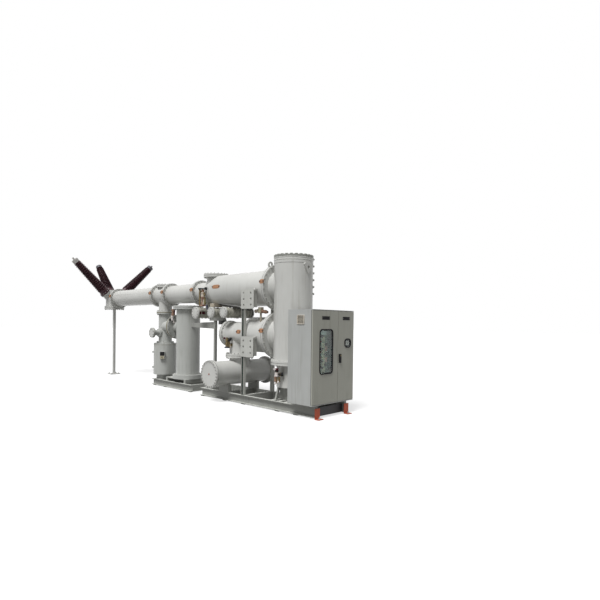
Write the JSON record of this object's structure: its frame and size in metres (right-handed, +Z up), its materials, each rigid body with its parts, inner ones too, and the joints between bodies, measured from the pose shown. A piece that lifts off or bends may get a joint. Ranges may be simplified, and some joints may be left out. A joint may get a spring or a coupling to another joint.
{
  "type": "gas insulated breaker bay",
  "caption": "Gas insulated switchgear bay: upright breaker tank, busbar section, control cabinet, line run with transformer and arrester tanks, and fanned air bushings.",
  "frame": {"origin": "on the floor under the axis of the upright breaker tank, on the underside of the central levelling pad", "axes": "+Z up; +Y along the bay from the control cabinet to the line end; +X to the right seen from in front of the cabinet"},
  "size_m": [2.6672, 10.7656, 3.6906],
  "materials": {
    "tank_paint": "semi-gloss light warm grey paint",
    "cabinet_paint": "satin bluish grey powder coat",
    "panel_paint": "satin pale green-grey paint",
    "frame_paint": "satin grey paint over rolled steel",
    "foot_paint": "orange-red primer",
    "bushing_glaze": "dark brown glaze",
    "terminal_metal": "cast",
    "handle_plastic": "matte black",
    "window_glass": "clear with a green tint",
    "bonding_copper": "orange-brown copper strap",
    "valve_brass": "dull brass",
    "louvre_plastic": "beige"
  },
  "bodies": {
    "bay": {"anchor_feet": "foot_paint", "arrester_base": "frame_paint", "arrester_cover": "tank_paint", "arrester_tank": "tank_paint", "blind_covers": "tank_paint", "bonding_straps": "bonding_copper", "bracket_plates": "frame_paint", "breaker_cover": "tank_paint", "breaker_pedestal": "frame_paint", "breaker_tank": "tank_paint", "bus_end_cover": "tank_paint", "bus_saddles": "frame_paint", "bus_tank": "tank_paint", "bushing_terminals": "terminal_metal", "bushings": "bushing_glaze", "cabinet_hinges": "cabinet_paint", "cabinet_plinth": "frame_paint", "cabinet_shell": "cabinet_paint", "density_monitor": "louvre_plastic", "disconnector_tank": "tank_paint", "drive_housing": "tank_paint", "gas_valves": "valve_brass", "instrument_panel": "panel_paint", "levelling_pads": "frame_paint", "line_skid": "frame_paint", "line_tee": "tank_paint", "line_tubes": "tank_paint", "louvres": "louvre_plastic", "mechanism_stand": "frame_paint", "mechanisms": "tank_paint", "middle_tank": "tank_paint", "outlet_housing": "tank_paint", "outlet_leg": "frame_paint", "posts": "frame_paint", "skid_beams": "frame_paint", "skid_cross_members": "frame_paint", "upper_tank": "tank_paint", "valve_knobs": "handle_plastic", "vt_cross_piece": "tank_paint", "vt_tank": "tank_paint", "vt_tank_lid": "tank_paint", "vt_tee": "tank_paint"},
    "left_door_leaf": {"left_door": "cabinet_paint", "left_window_glass": "window_glass"},
    "right_door_leaf": {"door_handle": "handle_plastic", "right_door": "cabinet_paint", "right_window_glass": "window_glass"}
  },
  "joints": [
    {"name": "left_door_hinge", "type": "hinge", "parent": "bay", "child": "left_door_leaf", "pos_m": [-0.576, -1.067, 1.115], "axis": [0, 0, -1], "range_deg": [0, 110]},
    {"name": "right_door_hinge", "type": "hinge", "parent": "bay", "child": "right_door_leaf", "pos_m": [0.576, -1.067, 1.115], "axis": [0, 0, 1], "range_deg": [0, 110]}
  ]
}
